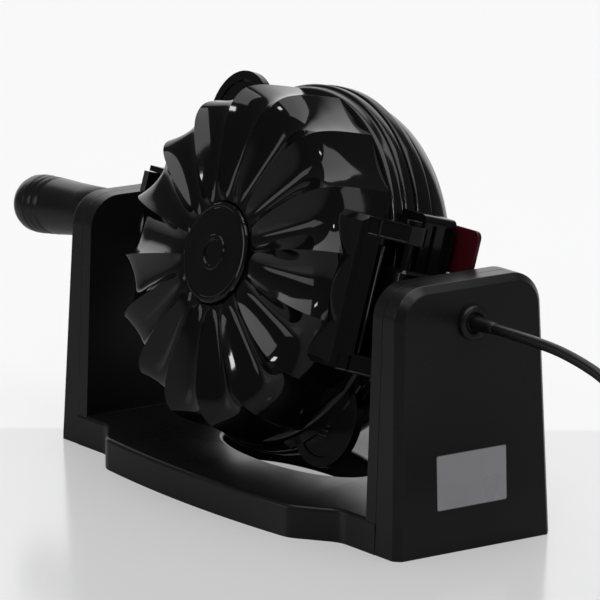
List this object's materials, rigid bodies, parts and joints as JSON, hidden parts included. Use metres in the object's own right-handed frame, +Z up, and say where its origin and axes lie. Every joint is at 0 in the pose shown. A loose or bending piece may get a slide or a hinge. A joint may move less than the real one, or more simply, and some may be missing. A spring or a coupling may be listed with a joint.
{
  "type": "electric cake maker",
  "caption": "Round electric cake maker that flips between the pillars of its stand, with a fluted half hinged to a domed half, a side grip and a mains lead.",
  "frame": {"origin": "on the table, at the middle of the stand's underside", "axes": "+X along the flip axis towards the mains lead, the fluted half faces -Y at rest, +Z up"},
  "size_m": [0.7356, 0.3002, 0.2636],
  "materials": {
    "stand_black": "satin",
    "shell_black": "gloss",
    "grip_black": "semi-gloss",
    "coated_aluminium": "satin non-stick coat",
    "element_steel": "dull",
    "control_metal": "satin",
    "rod_ceramic": "satin",
    "axle_steel": "satin",
    "bush_plastic": "satin",
    "lamp_red": "gloss",
    "foot_rubber": "matt",
    "cord_black": "satin",
    "terminal_plastic": "satin"
  },
  "bodies": {
    "stand": {"stand_frame": "stand_black", "left_pillar_cover": "stand_black", "right_pillar_cover": "stand_black", "base_cover": "stand_black", "rubber_feet": "foot_rubber", "base_screws": "axle_steel", "left_bush": "bush_plastic", "right_bush": "bush_plastic", "terminal_block": "terminal_plastic", "cord_gland": "cord_black", "mains_lead": "cord_black", "lead_coil": "cord_black", "lead_tail": "cord_black", "mains_plug": "cord_black"},
    "cooker": {"dome_shell": "shell_black", "rear_band": "shell_black", "dome_pan": "coated_aluminium", "dome_heater": "element_steel", "dome_thermostat": "control_metal", "hinge_housing": "shell_black", "lamp_window": "lamp_red", "hinge_pin": "axle_steel", "right_shaft": "axle_steel", "right_clip": "axle_steel", "left_lug": "shell_black", "left_shaft": "axle_steel", "left_clip": "axle_steel", "latch_keeper": "shell_black", "grip_collar": "grip_black", "grip": "grip_black"},
    "dome_rod": {"dome_thermostat_rod": "rod_ceramic"},
    "lid": {"fluted_shell": "shell_black", "hub_disc": "shell_black", "front_band": "shell_black", "fluted_pan": "coated_aluminium", "front_heater": "element_steel", "front_thermostat": "control_metal", "hinge_bracket": "shell_black", "ears": "shell_black", "latch_seat": "shell_black", "latch_pin": "axle_steel"},
    "latch": {"latch_lever": "shell_black"},
    "front_rod": {"front_thermostat_rod": "rod_ceramic"}
  },
  "joints": [
    {"name": "flip", "type": "hinge", "parent": "stand", "child": "cooker", "pos_m": [0, 0, 0.144], "axis": [-1, 0, 0], "range_deg": [-106, 74]},
    {"name": "lid_hinge", "type": "hinge", "parent": "cooker", "child": "lid", "pos_m": [0.136, -0.02307, 0.15061], "axis": [0, 0.2756, 0.9613], "range_deg": [0, 60]},
    {"name": "latch_pivot", "type": "hinge", "parent": "lid", "child": "latch", "pos_m": [-0.131, -0.02181, 0.18042], "axis": [0, 0.2756, 0.9613], "range_deg": [-9, 25]},
    {"name": "front_thermostat_push", "type": "slide", "parent": "lid", "child": "front_rod", "axis": [0, -0.9613, 0.2756], "range_m": [0, 0.001], "stiffness_N_per_m": 100},
    {"name": "dome_thermostat_push", "type": "slide", "parent": "cooker", "child": "dome_rod", "axis": [0, 0.9613, -0.2756], "range_m": [0, 0.001], "stiffness_N_per_m": 100}
  ]
}
